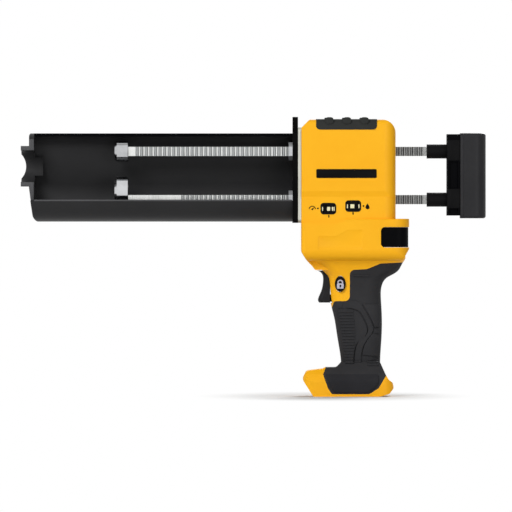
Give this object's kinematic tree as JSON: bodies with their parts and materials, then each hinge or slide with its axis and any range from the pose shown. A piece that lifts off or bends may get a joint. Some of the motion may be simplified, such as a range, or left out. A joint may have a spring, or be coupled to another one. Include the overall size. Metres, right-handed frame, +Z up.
{
  "type": "cordless caulking tool",
  "caption": "Cordless two-component caulking tool: open cartridge tray, toothed racks with pistons, motor housing with pistol grip, rear pull handle, slide-on battery dock.",
  "frame": {"origin": "centre of the battery dock, on the plane the foot stands on", "axes": "+X towards the pull handle, the nose at -X; +Y to the operator's right; +Z up"},
  "size_m": [0.5109, 0.079, 0.307],
  "materials": {
    "yellow_plastic": "moulded, satin",
    "black_plastic": "moulded, satin",
    "tray_black": "glass-filled nylon, satin",
    "grip_rubber": "soft overmould",
    "plate_steel": "bare sheet",
    "bush_steel": "turned",
    "rack_steel": "machined",
    "piston_bright": "polished",
    "gear_steel": "machined",
    "motor_steel": "plated can",
    "bearing_bronze": "sintered bronze",
    "board_green": "laminate",
    "contact_brass": "plated",
    "screw_steel": "zinc plated",
    "slider_cream": "moulded"
  },
  "bodies": {
    "housing": {"left_housing": "yellow_plastic", "right_housing": "yellow_plastic", "left_grip": "grip_rubber", "right_grip": "grip_rubber", "top_bumper": "grip_rubber", "front_plate": "plate_steel", "carriage_plate": "black_plastic", "cartridge_tray": "tray_black", "front_rack_bushes": "bush_steel", "rear_rack_bushes": "bush_steel", "gear_plate": "plate_steel", "top_bearing_plate": "plate_steel", "rear_plate": "plate_steel", "rack_guide": "plate_steel", "shaft_bearings": "bearing_bronze", "idler_pin": "gear_steel", "motor_can": "motor_steel", "switch_bezels": "black_plastic", "switch_module": "black_plastic", "control_board": "board_green", "terminal_block": "black_plastic", "terminal_blades": "contact_brass", "housing_screws": "screw_steel", "carriage_screws": "screw_steel"},
    "rack_carriage": {"upper_rack": "rack_steel", "lower_rack": "rack_steel", "upper_piston": "piston_bright", "lower_piston": "piston_bright", "piston_screws": "screw_steel", "rack_sleeves": "black_plastic", "pull_handle_frame": "black_plastic", "pull_handle_cover": "black_plastic", "pull_handle_screws": "screw_steel"},
    "drive_shaft": {"drive_shaft": "gear_steel", "upper_pinion": "gear_steel", "lower_pinion": "gear_steel", "drive_gear": "gear_steel"},
    "idler": {"idler_gear": "gear_steel"},
    "motor_rotor": {"motor_shaft": "gear_steel", "motor_pinion": "gear_steel"},
    "trigger": {"trigger": "black_plastic"},
    "lock_button": {"lock_button": "black_plastic"},
    "speed_slider": {"speed_slider": "slider_cream"},
    "drip_slider": {"drip_slider": "slider_cream"},
    "release_button": {"release_button": "black_plastic"}
  },
  "joints": [
    {"name": "rack_slide", "type": "slide", "parent": "housing", "child": "rack_carriage", "axis": [-1, 0, 0], "range_m": [-0.172, 0.034]},
    {"name": "drive_shaft_turn", "type": "hinge", "parent": "housing", "child": "drive_shaft", "pos_m": [0.01, -0.01492, 0.24], "axis": [0, 0, 1], "range_deg": [-881, 175]},
    {"name": "idler_turn", "type": "hinge", "parent": "housing", "child": "idler", "pos_m": [0.01, 0.00708, 0.2], "axis": [0, 0, 1], "range_deg": [-465, 2348]},
    {"name": "motor_turn", "type": "hinge", "parent": "housing", "child": "motor_rotor", "pos_m": [-0.00895, 0.004, 0.18], "axis": [0, 0, 1], "range_deg": [-7041, 1393]},
    {"name": "trigger_press", "type": "slide", "parent": "housing", "child": "trigger", "axis": [1, 0, 0], "range_m": [0, 0.005], "stiffness_N_per_m": 600, "springref_m": -0.002},
    {"name": "lock_press", "type": "slide", "parent": "housing", "child": "lock_button", "axis": [0, 1, 0], "range_m": [0, 0.0035]},
    {"name": "speed_slide", "type": "slide", "parent": "housing", "child": "speed_slider", "axis": [-1, 0, 0], "range_m": [0, 0.004]},
    {"name": "drip_slide", "type": "slide", "parent": "housing", "child": "drip_slider", "axis": [1, 0, 0], "range_m": [0, 0.004]},
    {"name": "release_press", "type": "slide", "parent": "housing", "child": "release_button", "axis": [-1, 0, 0], "range_m": [0, 0.005], "stiffness_N_per_m": 600, "springref_m": -0.002}
  ],
  "couplings": [
    {"joint": "drive_shaft_turn", "follows": "rack_slide", "rad_per_m": 89.286},
    {"joint": "idler_turn", "follows": "rack_slide", "rad_per_m": -238.1},
    {"joint": "motor_turn", "follows": "rack_slide", "rad_per_m": 714.29}
  ]
}
